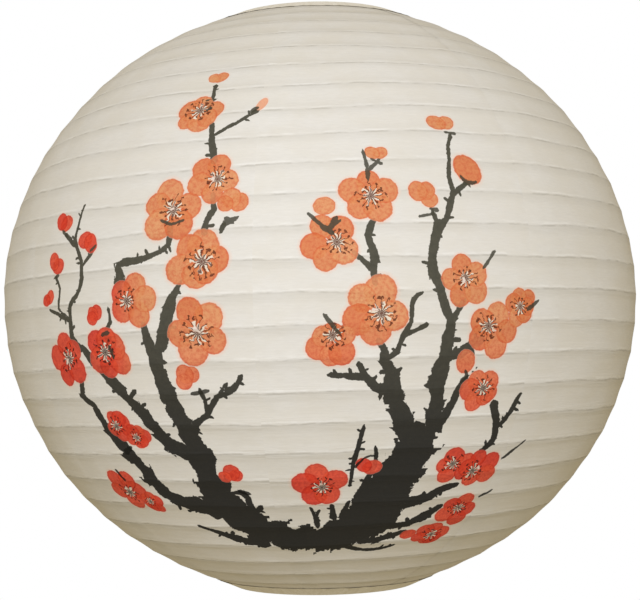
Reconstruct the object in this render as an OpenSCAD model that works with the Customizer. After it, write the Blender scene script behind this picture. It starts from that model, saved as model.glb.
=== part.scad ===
// Round folding paper lantern: a paper ball on one spiral wire, two end rings, and the wire expander
// that holds it open. +Z is up and the front faces -Y. The origin is where a hook bears in the loop.

/* [Ball] */
// Widest outside diameter of the paper ball
ball_d = 400; // [320:1:480]
// Height of the ball's outline, if it closed at its poles
ball_h = 374; // [300:1:450]
// Thickness of the pasted paper skin
paper_t = 0.3; // [0.2:0.05:0.4]
// Angle from the front to the first pasted seam, to the right
first_seam = -7; // [-22:1:22]
// Angle left open between two gores
seam_gap = 0.03; // [0.02:0.01:0.1]

/* [Spiral rib] */
// Thickness of the spiral wire
rib_d = 0.8; // [0.6:0.1:1]
// Latitude that one turn of the spiral climbs
rib_step = 5.35; // [4.5:0.05:6.5]
// Latitude of the spiral's middle
rib_middle = -0.36; // [-0.6:0.01:0.6]
// Gap between the wire and the paper's inner face
rib_gap = 0.3; // [0.25:0.05:0.6]
// Latitude left free between the spiral's ends and the paper's ends
rib_end_free = 2.5; // [2:0.1:5]

/* [End rings] */
// Diameter of the two end rings, on the wire's centre line
ring_d = 114; // [95:1:137]
// Thickness of the ring wire
ring_wire_d = 2.4; // [2:0.1:3]
// Gap between the ends of a ring's wire, inside its sleeve
ring_joint = 0.6; // [0.2:0.1:1.2]
// Length of the sleeve that closes a ring
sleeve_l = 14; // [8:1:20]
// Wall of the sleeve
sleeve_wall = 0.5; // [0.3:0.05:0.8]
// Clearance between the sleeve and the ring's wire
sleeve_gap = 0.05; // [0.02:0.01:0.1]

/* [Paper hems] */
// Thickness of the paper strip that binds a ring
hem_t = 0.35; // [0.2:0.05:0.5]
// Clearance between the strip and the ring's wire
hem_gap = 0.05; // [0.02:0.01:0.1]
// How far the strip wraps past level towards the inside of the ball
hem_inner_wrap = 45; // [20:1:45]
// How far the strip wraps past level away from the ball
hem_outer_wrap = 100; // [60:1:140]
// Gap between the strip and the paper's edge
hem_paper_gap = 0.1; // [0.05:0.05:0.5]
// Length of the opening in the strip, where the sleeve sits
hem_opening = 18; // [16:1:30]

/* [Expander] */
// Thickness of the expander's wire
wire_d = 2.4; // [2:0.1:3]
// Inside diameter of the hanging loop
loop_d = 10; // [8:0.5:10.5]
// Gap between the hanger's two arms, where they pass each other under the loop
pass_gap = 0.1; // [0.05:0.05:0.5]
// Gap between the hanger's shoulders and the top ring
shoulder_gap = 0.05; // [0.02:0.01:0.1]
// How far the shoulders reach past the top ring's centre line
shoulder_reach = 2; // [1:0.1:2]
// Radius of the hairpin bend at a shoulder, on the wire's centre line
shoulder_bend = 2.5; // [2.4:0.1:4]
// Distance of the leg pivots inside the rings' centre line
pivot_inset = 7; // [6.5:0.5:15]
// Radial clearance between a leg's pin and its eye
pin_gap = 0.08; // [0.03:0.01:0.1]
// Gap on each side of an eye, before the leg's wire bends
pin_side_gap = 0.3; // [0.2:0.1:1]
// Radius of the bends beside a leg's pin, on the wire's centre line
hook_bend = 2.4; // [2:0.1:4]
// Length of the short end that keeps a leg in its eye
hook_tail = 5; // [3:0.5:10]
// Angle that a leg leans inwards
leg_lean = 0.5; // [0.3:0.1:0.8]
// Radius of the bend above a foot, on the wire's centre line
foot_bend = 4; // [3:0.5:6]
// Gap between a foot and the bottom ring
foot_gap = 0.3; // [0.2:0.05:0.5]
// How far a foot reaches past the bottom ring's centre line
foot_reach = 2; // [1:0.1:2]

/* [Wire joints] */
// How much thicker in radius a bend is than the wire that runs on into it
joint_step = 0.02; // [0.01:0.01:0.04]
// How far a straight wire runs on into a bend
joint_run = 0.3; // [0.1:0.1:0.5]
// Angle that a thinner bend runs on into a thicker one
joint_turn = 1; // [0.5:0.5:2]

/* [Hidden] */

paper_color = "#f3efe6";
hem_color = "#e9e2d0";
steel_color = "#b9bcc0";
rib_color = "#8f9296";

round_fn = 180;
wire_fn = 24;
rib_sides = 8;
front = -90;
gore_count = 8;
gore_turn = 360 / gore_count;
paper_bands = 36;
hem_steps = 16;

ball_r = ball_d / 2;
half_h = ball_h / 2;
ring_r = ring_d / 2;
ring_wire_r = ring_wire_d / 2;
wire_r = wire_d / 2;
rib_r = rib_d / 2;
hem_r = ring_wire_r + hem_gap + hem_t;
ring_half_span = half_h * sin(acos(ring_r / ball_r));
ring_span = 2 * ring_half_span;

// The paper ends just outside the strip that binds each ring
paper_end_lat = acos((ring_r + hem_r + hem_paper_gap) / ball_r);
rib_half_turns = 2 * floor((paper_end_lat - rib_end_free - abs(rib_middle)) * 2 / rib_step);
rib_first_lat = rib_middle - rib_half_turns * rib_step / 4;

// The hanger's straight arms, its loop and its eyes, measured from the top ring's plane
arm_below = ring_wire_r + shoulder_gap + wire_r;
loop_r = loop_d / 2 + wire_r;
loop_top = 2 * loop_r - wire_r - arm_below;
ring_top_z = -loop_top;
ring_bottom_z = ring_top_z - ring_span;
ball_z = ring_top_z - ring_half_span;
arm_z = ring_top_z - arm_below;
arm_y = (wire_d + pass_gap) / 2;
loop_peak = [0, arm_z + 2 * loop_r];
shoulder_x = ring_r + shoulder_reach - shoulder_bend;
eye_r = wire_r + pin_gap + wire_r;
eye_y = arm_y + 2 * shoulder_bend;
pivot_x = ring_r - pivot_inset;
pivot_z = arm_z - eye_r;

// A leg, measured from its pivot
pin_half_l = wire_r + pin_side_gap;
shaft_y = pin_half_l + hook_bend;
foot_z = ring_bottom_z + ring_wire_r + foot_gap + wire_r;
leg_l = (pivot_z - foot_z) / cos(leg_lean);
foot_l = pivot_inset + foot_reach + leg_l * sin(leg_lean);

// Outward direction of the ball's outline at a latitude, as [radius, height]
function outward(lat) = let (v = [cos(lat) / ball_r, sin(lat) / half_h]) v / norm(v);
// A point at a depth below the ball's outline, as [radius, height]
function ball_point(lat, depth) = [ball_r * cos(lat), half_h * sin(lat)] - depth * outward(lat);
// Points of the paper's outline at a depth, from the lower latitude to the upper one
function paper_line(depth) = [
    for (i = [0 : paper_bands])
        ball_point(-paper_end_lat + 2 * paper_end_lat * i / paper_bands, depth)
];
function reversed(list) = [for (i = [len(list) - 1 : -1 : 0]) list[i]];
// Where the spiral's centre line crosses the XZ plane, once each half turn, as [x, z]
function rib_point(k) =
    let (p = ball_point(rib_first_lat + k * rib_step / 2, paper_t + rib_gap + rib_r))
    [(k % 2 == 0 ? 1 : -1) * p[0], p[1]];

// A round bar between two points
module rod(from, to, r) {
    run = to - from;
    translate(from)
        rotate([0, acos(run[2] / norm(run)), atan2(run[1], run[0])])
            cylinder(h = norm(run), r = r, $fn = wire_fn);
}

// A wire bent in the XY plane
module arc(radius, start, sweep, r, sides = wire_fn) {
    rotate([0, 0, start])
        rotate_extrude(angle = sweep, $fn = round_fn)
            translate([radius, 0]) circle(r = r, $fn = sides);
}

// Half a turn of wire between two points of the XZ plane, bulging to +Y or -Y, that runs on at both ends
module half_turn(from, to, bulge, r, run_on, sides = wire_fn) {
    run = from - to;
    translate([(from + to)[0] / 2, 0, (from + to)[1] / 2])
        rotate([0, -atan2(run[1], run[0]), 0])
            rotate([bulge > 0 ? 0 : 180, 0, 0])
                arc(norm(run) / 2, -run_on, 180 + 2 * run_on, r, sides);
}

// A strip's cut edge on the outside of a ring's wire
module hem_section(up) {
    function edge(r) = [
        for (i = [0 : hem_steps])
            let (a = -hem_inner_wrap + (hem_inner_wrap + hem_outer_wrap) * i / hem_steps)
            [ring_r + r * cos(a), up * r * sin(a)]
    ];
    polygon(concat(edge(hem_r), reversed(edge(ring_wire_r + hem_gap))));
}

function turn_of(length) = length / ring_r * 180 / PI;

module ring(z) {
    open = turn_of(ring_joint);
    translate([0, 0, z]) arc(ring_r, 90 + open / 2, 360 - open, ring_wire_r);
}

module ring_sleeve(z) {
    turn = turn_of(sleeve_l);
    translate([0, 0, z]) difference() {
        arc(ring_r, 90 - turn / 2, turn, ring_wire_r + sleeve_gap + sleeve_wall);
        arc(ring_r, 0, 360, ring_wire_r + sleeve_gap);
    }
}

module hem(z, up) {
    open = turn_of(hem_opening);
    translate([0, 0, z])
        rotate([0, 0, 90 + open / 2])
            rotate_extrude(angle = 360 - open, $fn = round_fn) hem_section(up);
}

module gore(index) {
    color(paper_color)
        translate([0, 0, ball_z])
            rotate([0, 0, front + first_seam + gore_turn * index])
                rotate_extrude(angle = gore_turn - seam_gap, $fn = round_fn)
                    polygon(concat(paper_line(0), reversed(paper_line(paper_t))));
}

// An arm of the hanger, its hairpin shoulder and the eye at the wire's end
module hanger_arm() {
    rod([-joint_run, arm_y, arm_z], [shoulder_x, arm_y, arm_z], wire_r);
    translate([shoulder_x, arm_y + shoulder_bend, arm_z]) arc(shoulder_bend, -90, 180, wire_r);
    rod([shoulder_x, eye_y, arm_z], [pivot_x, eye_y, arm_z], wire_r);
    translate([pivot_x, eye_y, pivot_z]) rotate([90, 0, 0]) arc(eye_r, 90, 270, wire_r);
}

// A leg hung on its pin, with its foot towards +X
module leg() {
    color(steel_color)
        translate([pivot_x, eye_y, pivot_z])
            rotate([0, leg_lean, 0]) {
                rod([0, -pin_half_l, 0], [0, pin_half_l, 0], wire_r);
                translate([0, pin_half_l, -hook_bend]) rotate([90, 0, 90]) arc(hook_bend, 0, 90, wire_r);
                translate([0, -pin_half_l, -hook_bend]) rotate([90, 0, 90]) arc(hook_bend, 90, 90, wire_r);
                rod([0, shaft_y, -hook_bend], [0, shaft_y, -hook_bend - hook_tail], wire_r);
                translate([0, shaft_y, -hook_bend - hook_tail]) sphere(r = wire_r, $fn = wire_fn);
                rod([0, -shaft_y, -hook_bend], [0, -shaft_y, foot_bend - leg_l], wire_r);
                translate([foot_bend, -shaft_y, foot_bend - leg_l])
                    rotate([90, 0, 0]) arc(foot_bend, 180, 90, wire_r);
                rod([foot_bend, -shaft_y, -leg_l], [foot_l, -shaft_y, -leg_l], wire_r);
                translate([foot_l, -shaft_y, -leg_l]) sphere(r = wire_r, $fn = wire_fn);
            }
}

module top_ring() { color(steel_color) ring(ring_top_z); }
module top_ring_sleeve() { color(steel_color) ring_sleeve(ring_top_z); }
module top_binding() { color(hem_color) hem(ring_top_z, 1); }
module bottom_ring() { color(steel_color) ring(ring_bottom_z); }
module bottom_ring_sleeve() { color(steel_color) ring_sleeve(ring_bottom_z); }
module bottom_binding() { color(hem_color) hem(ring_bottom_z, -1); }

module rib_spiral() {
    color(rib_color)
        translate([0, 0, ball_z])
            for (k = [0 : rib_half_turns - 1])
                if (k % 2 == 0)
                    half_turn(rib_point(k), rib_point(k + 1), 1, rib_r + joint_step, 0, rib_sides);
                else
                    half_turn(rib_point(k), rib_point(k + 1), -1, rib_r, joint_turn, rib_sides);
}

module hanger_wire() {
    color(steel_color) {
        hanger_arm();
        rotate([0, 0, 180]) hanger_arm();
        rotate([0, 0, 90]) {
            half_turn(loop_peak, [arm_y, arm_z], 1, wire_r + 2 * joint_step, 0);
            half_turn([-arm_y, arm_z], loop_peak, -1, wire_r + joint_step, joint_turn);
        }
    }
}

module left_leg() { rotate([0, 0, 180]) leg(); }
module right_leg() { leg(); }

top_ring();
top_ring_sleeve();
top_binding();
bottom_ring();
bottom_ring_sleeve();
bottom_binding();
rib_spiral();
gore(0);  // paper_gore_1
gore(1);  // paper_gore_2
gore(2);  // paper_gore_3
gore(3);  // paper_gore_4
gore(4);  // paper_gore_5
gore(5);  // paper_gore_6
gore(6);  // paper_gore_7
gore(7);  // paper_gore_8
hanger_wire();
left_leg();
right_leg();
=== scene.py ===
"""Round folding paper lantern with a painted plum tree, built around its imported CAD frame.
Metres, +Z up, the front faces -Y. Azimuths run from the front to the right, latitudes from the
widest line upwards, both in degrees."""

import bpy
import numpy as np
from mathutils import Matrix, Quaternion, Vector


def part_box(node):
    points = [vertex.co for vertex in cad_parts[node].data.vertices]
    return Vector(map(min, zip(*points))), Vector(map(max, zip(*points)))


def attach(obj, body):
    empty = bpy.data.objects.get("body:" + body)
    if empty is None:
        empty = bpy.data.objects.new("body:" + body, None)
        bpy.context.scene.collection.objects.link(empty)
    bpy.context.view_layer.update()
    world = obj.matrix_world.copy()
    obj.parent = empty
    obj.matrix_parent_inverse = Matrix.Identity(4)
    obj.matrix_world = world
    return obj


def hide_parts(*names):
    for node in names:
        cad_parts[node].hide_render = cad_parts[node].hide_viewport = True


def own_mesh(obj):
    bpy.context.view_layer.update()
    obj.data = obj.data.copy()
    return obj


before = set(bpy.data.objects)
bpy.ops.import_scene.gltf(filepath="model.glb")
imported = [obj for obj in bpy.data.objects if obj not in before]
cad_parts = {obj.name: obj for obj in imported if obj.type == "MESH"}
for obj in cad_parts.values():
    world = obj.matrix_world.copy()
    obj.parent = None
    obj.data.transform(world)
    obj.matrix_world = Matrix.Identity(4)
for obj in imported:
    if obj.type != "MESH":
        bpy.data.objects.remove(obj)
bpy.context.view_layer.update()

# ---- Sizes read from the frame ----
GORES = 8
gore_boxes = [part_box(f"paper_gore_{i + 1}") for i in range(GORES)]
top_lo, top_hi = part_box("top_ring")
base_lo, base_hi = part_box("bottom_ring")
BALL_R = max(hi.x for lo, hi in gore_boxes)
RING_WIRE_R = (top_hi.z - top_lo.z) / 2
RING_R = (top_hi.x - top_lo.x) / 2 - RING_WIRE_R
TOP_Z = (top_lo.z + top_hi.z) / 2
BASE_Z = (base_lo.z + base_hi.z) / 2
BALL_Z = (TOP_Z + BASE_Z) / 2
HALF_H = (TOP_Z - BASE_Z) / 2 / np.sqrt(1 - (RING_R / BALL_R) ** 2)
END_LAT = np.degrees(np.arcsin((gore_boxes[0][1].z - BALL_Z) / HALF_H))

# ---- Paper gores ----
MM = 1000
GORE_TURN = 360 / GORES
FIRST_SEAM = -7.0
PRINTED_GORES = (0, 1, 6, 7)
# Neighbouring gores overlap by LAP degrees, and lift or sink into the lap over LAP_FADE degrees
LAP = 6.0
LAP_FADE = 1.5
LAP_LIFT = 0.00012
# How deep the paper lies below the ball's outline on a rib, how much deeper it sags between two
# ribs, and the most it may lie below
PAPER_DEPTH = 0.00015
SAG = 0.00048
DEEPEST = 0.0011
SAG_ROUNDNESS = 1.8
# Unevenness of the paper, as (height, wave length), over the sheet and between two ribs
BROAD_WAVES = (0.00022, 0.07)
SMALL_WAVES = (0.00007, 0.017)
# The paper lies flat under the hems, from this many degrees before them
FLAT_RUN_IN = 2.5
CELL = 0.0022
UV_SHARE = 0.96
MERIDIAN_STEPS = 721

# ---- Spiral wire ----
RIB_R = 0.0004
RIB_DEPTH = 0.001
RIB_STEP = 5.35
RIB_FIRST = -69.91
RIB_TURNS = 26
RIB_SIDES = 8
RIB_PIECES_PER_TURN = 84
# How the spiral strays from its pitch, as (degrees, wave length in metres)
RIB_STRAYS = ((0.22, 0.16), (0.10, 0.05))

# ---- Hems ----
HEM_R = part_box("top_binding")[1].z - TOP_Z
HEM_LIFT = 0.00012
HEM_OPENING = 0.018
HEM_END_LAT = 69.4
# The wrap's edge inside the ring, as an angle round the wire from straight outwards
HEM_WRAP_FROM = 165
# How far the wrap's other edge stops short of the point where the wire faces as the ball does
HEM_WRAP_PAST = 6
# Degrees of latitude from the ring to the first point on the ball
HEM_LEAVES = 0.35
HEM_LIFT_FADE = 1.6
HEM_COLUMNS = 260
WRAP_POINTS = 14
FLAP_POINTS = 12
# Crinkles: usual height, greatest height, length along the ring, and their push outwards and away
CRINKLE = 0.0001
CRINKLE_MOST = 0.0004
CRINKLE_LENGTH = 0.006
CRINKLE_OUT = 0.28
CRINKLE_UP = 0.96

# ---- Look of the painting ----
# A stroke's segment is tried on the faces within this many mm of its start, and a petal on those
# within this many of its own radii
STROKE_REACH = 24.0
PETAL_REACH = 2.2
# A face with no stroke or petal holds these, which lie outside every mask
NO_INK = (99.0, 0.0, 0.0)
NO_PETAL = (9.0, 9.0, 0.0)
# Past its ends a stroke narrows this fast, from this share of its half width onwards
CAP_SLOPE = 1.6
CAP_START = 0.4
NUB_CHANCE = 0.42
# Most that a petal turns away from its form's own direction, in degrees
PETAL_TURN = 11
# In mm from the widest line and from the front: downwards the blossoms go from orange to red over
# LOW_UP and the ink from a painted lit grey to black over INK_UP, and at the far left red gives way
# to orange over LOW_ASIDE
LOW_UP = (-10.0, -90.0)
LOW_ASIDE = (-125.0, -95.0)
INK_UP = (10.0, -105.0)

# ---- Paper's finish ----
PAPER_ROUGHNESS = 0.82
PAPER_SPECULAR = 0.25
TRANSLUCENCY = 0.22

# ---- Studio ----
ROOM_R = 30 * BALL_R
FLOOR_Z = BALL_Z - 8 * BALL_R
ROOM_LIGHT = (1.0, 0.86, 0.56, 1)
ROOM_POWER = 0.45
KEY_PLACE = (-0.1, -2.5, BALL_Z + 0.7)
KEY_SIZE = 1.0
KEY_POWER = 67
KEY_COLOUR = (0.765, 0.815, 0.93)
LENS = 84.5
SENSOR = 36
CAMERA_BACK = 4.85
CAMERA_DOWN = 0.24
CAMERA_ROLL = -1.03


def wave_sum(points, size, seed, count=14):
    """Smooth noise of about -1 to 1 at points, made of waves about size long."""
    rng = np.random.default_rng(seed)
    total = np.zeros(len(points))
    for _ in range(count):
        direction = rng.normal(size=3)
        direction *= 2 * np.pi / size * rng.uniform(0.6, 1.5) / np.linalg.norm(direction)
        total += np.sin(points @ direction + rng.uniform(0, 2 * np.pi))
    return total / np.sqrt(count)


def ball_points(azimuth, latitude, depth):
    """Points below the ball's outline."""
    a, t = np.radians(azimuth), np.radians(latitude)
    out = np.stack([np.cos(t) / BALL_R, np.sin(t) / HALF_H])
    out /= np.linalg.norm(out, axis=0)
    r = BALL_R * np.cos(t) - depth * out[0]
    z = HALF_H * np.sin(t) - depth * out[1]
    return np.stack([r * np.sin(a), -r * np.cos(a), BALL_Z + z], axis=-1)


def rib_wander(azimuth, latitude):
    """How far the spiral strays from its even pitch, in degrees of latitude."""
    base = ball_points(azimuth, latitude, 0)
    (broad, broad_length), (small, small_length) = RIB_STRAYS
    return broad * wave_sum(base, broad_length, 3) + small * wave_sum(base, small_length, 4)


def rib_phase(azimuth, latitude):
    """Counts the spiral's turns up the ball: whole on the wire."""
    climb = latitude - rib_wander(azimuth, latitude) - RIB_FIRST
    return climb / RIB_STEP - (azimuth - 90) / 360


def meridian_table():
    """Arc length along a meridian, from the widest line, at even latitudes."""
    lat = np.linspace(-END_LAT, END_LAT, MERIDIAN_STEPS)
    t = np.radians((lat[1:] + lat[:-1]) / 2)
    step = np.hypot(BALL_R * np.sin(t), HALF_H * np.cos(t)) * np.radians(lat[1] - lat[0])
    length = np.concatenate([[0], np.cumsum(step)])
    return lat, length - length[len(length) // 2]


MERIDIAN_LAT, MERIDIAN_S = meridian_table()


def height_mm(latitude):
    return np.interp(latitude, MERIDIAN_LAT, MERIDIAN_S) * MM


def new_mesh(name, points, faces, caps=()):
    """A smooth mesh. faces have the same number of corners, and caps are any further ones."""
    mesh = bpy.data.meshes.new(name)
    mesh.from_pydata(points.tolist(), [], faces.tolist() + list(caps))
    mesh.update()
    mesh.polygons.foreach_set("use_smooth", [True] * len(mesh.polygons))
    obj = bpy.data.objects.new(name, mesh)
    bpy.context.scene.collection.objects.link(obj)
    return obj


def grid_faces(rows, columns):
    """Quads over a grid of points that are listed row by row."""
    i = np.arange(rows - 1)[:, None] * columns + np.arange(columns - 1)
    return np.stack([i, i + 1, i + columns + 1, i + columns], -1).reshape(-1, 4)


def add_vectors(obj, name, values, domain="POINT"):
    """Stores three numbers per point, or per face corner, for a material to read."""
    layer = obj.data.attributes.new(name, "FLOAT_VECTOR", domain)
    layer.data.foreach_set("vector", np.asarray(values, np.float32).ravel())


# ---- The painting, on the unrolled paper ----
# Branches: points as (azimuth, latitude, half width in mm), from the thick end or joint to the tip
TRUNK = [
    [(-21.2, 0.8, 0.9), (-22.2, -0.8, 1.9), (-23.4, -3.4, 3.2), (-24.3, -6.8, 3.4), (-25.4, -9.6, 3.4),
     (-26.8, -12, 4.2), (-26.2, -15.3, 4.5), (-25, -18.8, 4.8), (-24.3, -22, 5.5), (-23.3, -25, 6.4),
     (-22.2, -27.8, 7), (-22, -31.2, 7.4), (-21.6, -34.7, 8), (-20.6, -38.7, 9.5), (-18.5, -42.2, 10.5),
     (-15.6, -45, 10), (-11, -47.2, 9), (-6.5, -48.4, 9.4), (0, -48.2, 10.5), (4.6, -46.4, 12.5),
     (9, -43.8, 14), (11.5, -39, 13.5), (13.4, -34.8, 11.5), (15.3, -31, 10), (16.6, -28.2, 9),
     (16.3, -25.6, 8.5)],
    [(-28.2, -6.2, 2), (-27.6, -9, 2.8), (-26.9, -11.6, 3.6)],
    [(15.4, -26.4, 6), (13.3, -23, 5.8), (11.8, -20.2, 5.4), (11, -17.4, 4.4), (10.6, -14.6, 3.6),
     (9.6, -13, 2.9), (9.6, -11, 2.8), (8.8, -9.7, 2.2)],
    [(17.8, -26.6, 5.5), (18.8, -23.4, 4.4), (18.9, -20.6, 4.2), (18.6, -17.6, 4.2), (18.8, -15, 4.7),
     (19.3, -12.6, 4.4), (19.9, -9.6, 3), (19.9, -6.4, 2.6), (18.8, -3.4, 2.8), (18, -0.7, 2.7),
     (17, 2.6, 2.5), (17.5, 5.5, 2.6), (18.1, 7.7, 2.3), (20, 10.2, 2), (21, 12.8, 1.8), (21.6, 14.6, 1.5),
     (21.5, 17.2, 1.2), (22, 20.3, 1.1), (22.6, 23.2, 1.1), (23.5, 25.2, 1.4)],
    [(-24.6, -28.4, 5), (-27.7, -26.5, 4.2), (-29.6, -24, 4), (-31, -21.4, 3.6), (-32.6, -19.4, 3.4),
     (-34.8, -17, 3.4), (-37.4, -14.2, 3), (-39.6, -11.8, 2.4), (-41.4, -9.6, 1.8)],
    [(-23, -41, 7), (-27.8, -39.4, 5.4), (-32, -38.2, 4.4), (-34.5, -35.2, 4.4), (-35.9, -31.6, 4.4),
     (-37.8, -28.2, 4.4), (-40, -24.6, 3.4), (-41.5, -21.4, 2.8), (-42.2, -19.6, 2.3), (-44, -18, 1.9),
     (-43.4, -15.2, 1.7)],
    [(14.4, -40.6, 5), (17.6, -39.4, 3.8), (20.4, -38.8, 3.4), (23.5, -36.9, 2.8), (26.6, -35.9, 1.8)],
    [(12, -44.6, 4), (16, -45, 3), (19, -44.8, 2.6), (22.6, -42.8, 3), (25, -40.8, 2.2)],
    [(9, -49, 3), (12.5, -49, 2.6), (15.5, -48, 2.6), (19.3, -47, 2)],
    [(6, -51, 2), (11, -52, 1.6), (14.5, -51.8, 1.4), (18, -50.8, 1)],
    [(-15, -49.6, 4), (-20, -48.6, 3.6), (-25, -46.8, 2.6), (-29.6, -44.8, 1.1)],
]
BRANCHES = [
    [(8.3, -0.8, 1.5), (8, 1.8, 2), (8.3, 3.5, 2.1), (8, 5, 2), (7.4, 7.3, 2.2), (8.3, 9.6, 1.5)],
    [(7.8, 1.8, 1.7), (5, 4.6, 1.1)],
    [(19.4, -12.4, 3), (22, -11.8, 2.9), (23.8, -10.6, 2.7), (25.6, -9.7, 1.8)],
    [(19.9, -6.8, 2.2), (21.2, -5, 1.8), (22.3, -3.3, 1.5)],
    [(18.4, -25.6, 2.8), (20.4, -22.8, 2.5), (21.8, -20, 2.2), (22.4, -17.8, 2), (23.7, -15.9, 1.4)],
    [(29.4, -29.2, 1.8), (31.5, -27, 2.2), (31.2, -24.8, 2.2), (30.4, -22.4, 2.4), (29.6, -20.6, 2.4)],
    [(31.2, -25.2, 1.8), (33, -22.7, 1.6), (34.2, -20.2, 1.4), (34.8, -18.8, 0.9)],
    [(10, -12.5, 1.7), (11.6, -11.4, 1.5), (12.6, -8.8, 1.4), (13.7, -6.6, 1.3), (14, -3.2, 1.2),
     (15.5, -2, 0.9)],
    [(12.6, -8.9, 1.4), (14.4, -8, 1.4), (16.3, -7.1, 1.5)],
    [(11.6, -18.2, 3.2), (8.6, -17.4, 2.8), (7, -15.7, 2.2), (4.7, -15.3, 1.9), (1.3, -15.1, 1.6)],
    [(7, -15.8, 1.8), (5.8, -13.3, 1.5)],
    [(7.2, -37.8, 3), (8, -34.6, 1.8), (9.4, -30.6, 1.2), (9.1, -27.8, 0.9)],
    [(5, -35.4, 0.8), (5.4, -31, 1.2), (6, -28, 1.3), (6.9, -23.8, 0.9)],
    [(3.8, -42.6, 2), (5, -38.8, 1.2)],
    [(2, -42.6, 2), (1.6, -39.6, 1.2)],
    [(-1.4, -45, 1.4), (-1.7, -42.6, 1.2), (-2.7, -40, 0.9)],
    [(-1.7, -42.6, 1), (-0.9, -40.6, 0.7)],
    [(-13.8, -42.4, 2.6), (-14.9, -39.8, 2), (-15.6, -37, 1.8), (-18.9, -36.7, 1.1)],
    [(-14.4, -41.4, 1.7), (-12.8, -39.8, 1.6)],
    [(-22.2, -25, 2.4), (-21.4, -23.2, 2.1), (-19.2, -21.6, 1.8), (-18.2, -20.4, 1.7), (-16.8, -18.4, 1.6),
     (-13.9, -17, 1.5), (-12.5, -15, 1.1)],
    [(-16.4, -18, 1.3), (-15, -16.2, 1.1)],
    [(-19.1, -21.2, 1.3), (-19, -19, 1.2), (-19.6, -17.2, 1.4)],
    [(-17.6, 8.4, 2), (-17.4, 10.2, 1.7), (-16.4, 12.3, 1.6), (-16.6, 14.8, 1.3)],
    [(-17, 20.6, 1.6), (-18.1, 25.1, 1.8), (-18.7, 28.2, 1.4)],
    [(-20.2, 32, 1.1), (-20, 34.4, 1), (-20.2, 36.8, 1.3)],
    [(-17.8, 25.7, 1.2), (-16, 26.9, 1.2), (-14, 28, 1), (-12, 29.3, 1.3), (-10.6, 30.2, 1.6)],
    [(-15, 8.4, 1.8), (-14.5, 9.6, 1.7)],
    [(-23.5, 9.8, 1.8), (-23.4, 7.6, 1.4), (-24.2, 6, 1.3), (-27, 4.9, 1.5), (-30, 4.3, 1.8),
     (-32.5, 3.9, 2.1), (-32.4, 2, 2.6), (-32.6, 0, 2)],
    [(-34.8, -3.2, 1.1), (-34.6, -5.4, 1.1), (-35.7, -7.6, 1.5), (-34.9, -10.4, 1.1)],
    [(-41.8, -9.8, 2), (-43.6, -7.8, 2), (-43.7, -5.3, 1.6), (-43.5, -2.4, 1.5), (-41.3, 0, 1.4),
     (-40.6, 3.4, 1.4), (-41.8, 6.8, 1.3), (-42.8, 8.8, 1.2), (-42.5, 11.7, 0.9), (-41.9, 14.9, 0.8)],
    [(-40.6, 4.2, 1.2), (-38.5, 6.4, 1.3)],
    [(-44, -4.6, 1.1), (-46.6, -2.8, 1), (-46.3, 0.6, 1), (-47.3, 2.6, 1)],
    [(-44, -5, 1.3), (-47, -3.7, 1.1), (-49.2, -2.9, 0.9)],
    [(-42.9, 8, 1.4), (-45.6, 10, 1.3)],
    [(21.6, 14, 1.4), (23.5, 15.8, 1.6), (25.2, 16.7, 1.4)],
    [(18, 7.8, 1.7), (18.2, 9.6, 1.6), (17.8, 11.2, 1.7)],
    [(-37.4, -14.2, 1.6), (-36, -12.4, 1.4)],
    [(-32.9, -18.4, 1.8), (-31.6, -17.2, 1.3)],
]
# Dark strokes that lie over the blossoms
OVERLAYS = [
    [(-1.6, 10.9, 0.9), (0.3, 9, 1.3), (2, 7.6, 1.2)],
    [(1.6, 8.2, 1.2), (2.6, 10, 1.4)],
    [(3.2, 9.7, 1.1), (1.4, 8.4, 1)],
    [(7.9, 18.6, 1), (7.4, 21.9, 0.9)],
    [(7.9, 16.4, 1), (7.9, 18.6, 1)],
    [(8.1, 18.3, 1), (9.9, 20, 1.2)],
    [(8.7, 20.2, 0.9), (10.2, 19.4, 0.9)],
    [(-25.4, 10.9, 0.7), (-23.4, 10.1, 1), (-21.2, 10.6, 0.6)],
    [(-21.6, 33.3, 0.5), (-20.2, 33.5, 0.9)],
    [(-20.6, 30.8, 0.7), (-19.6, 31.8, 1)],
    [(-14.4, 9.7, 1.6), (-12.6, 10.6, 1.6)],
    [(-14.3, 10.6, 1.3), (-13.2, 9.8, 1.2)],
    [(15.5, 10.3, 0.7), (18.2, 10.9, 1)],
    [(17.4, 11.6, 1), (18.6, 11.4, 1.2)],
    [(22.4, 25.8, 0.9), (24.4, 25.6, 1)],
    [(23.6, 17.6, 0.8), (24.6, 16.4, 1.2), (26.4, 16.6, 0.8)],
    [(0.6, -5.4, 1.3), (2.8, -8.4, 1)],
    [(-21.1, -17.8, 1), (-18.3, -17.3, 1.3)],
    [(-36.6, -7.6, 1.1), (-35, -7.2, 1.2)],
    [(-35.4, -9.6, 1.1), (-34.7, -11.6, 0.8)],
    [(-38.9, 6.5, 1), (-37.8, 7.4, 1)],
    [(-46.6, 10.6, 0.9), (-45, 9.4, 1)],
    [(-47.8, 2.4, 0.8), (-46.4, 3, 0.9)],
    [(25.8, 2, 1), (28, 5, 0.7)],
    [(34.2, -4.6, 1.5), (36.3, -3.1, 0.6)],
    [(22.6, -16.6, 1.1), (23.6, -15.6, 1.1), (23.3, -14.8, 0.9)],
    [(35.2, -31, 1.1), (37.2, -29.3, 0.8), (39.3, -27.4, 0.5)],
    [(33.8, -39, 1), (36.5, -37.6, 0.8)],
    [(5.6, -31.8, 0.8), (7.4, -29.8, 0.6), (9, -29.4, 0.7)],
    [(-43.6, -32.2, 0.9), (-42.4, -34.4, 0.9)],
    [(-11.8, 29.8, 1.2), (-10.8, 30.9, 1.2)],
    [(-16.4, -36.3, 1), (-14.6, -36.9, 1.2)],
    [(-36.6, -27.6, 1.7), (-38, -28.4, 2)],
]
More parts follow.
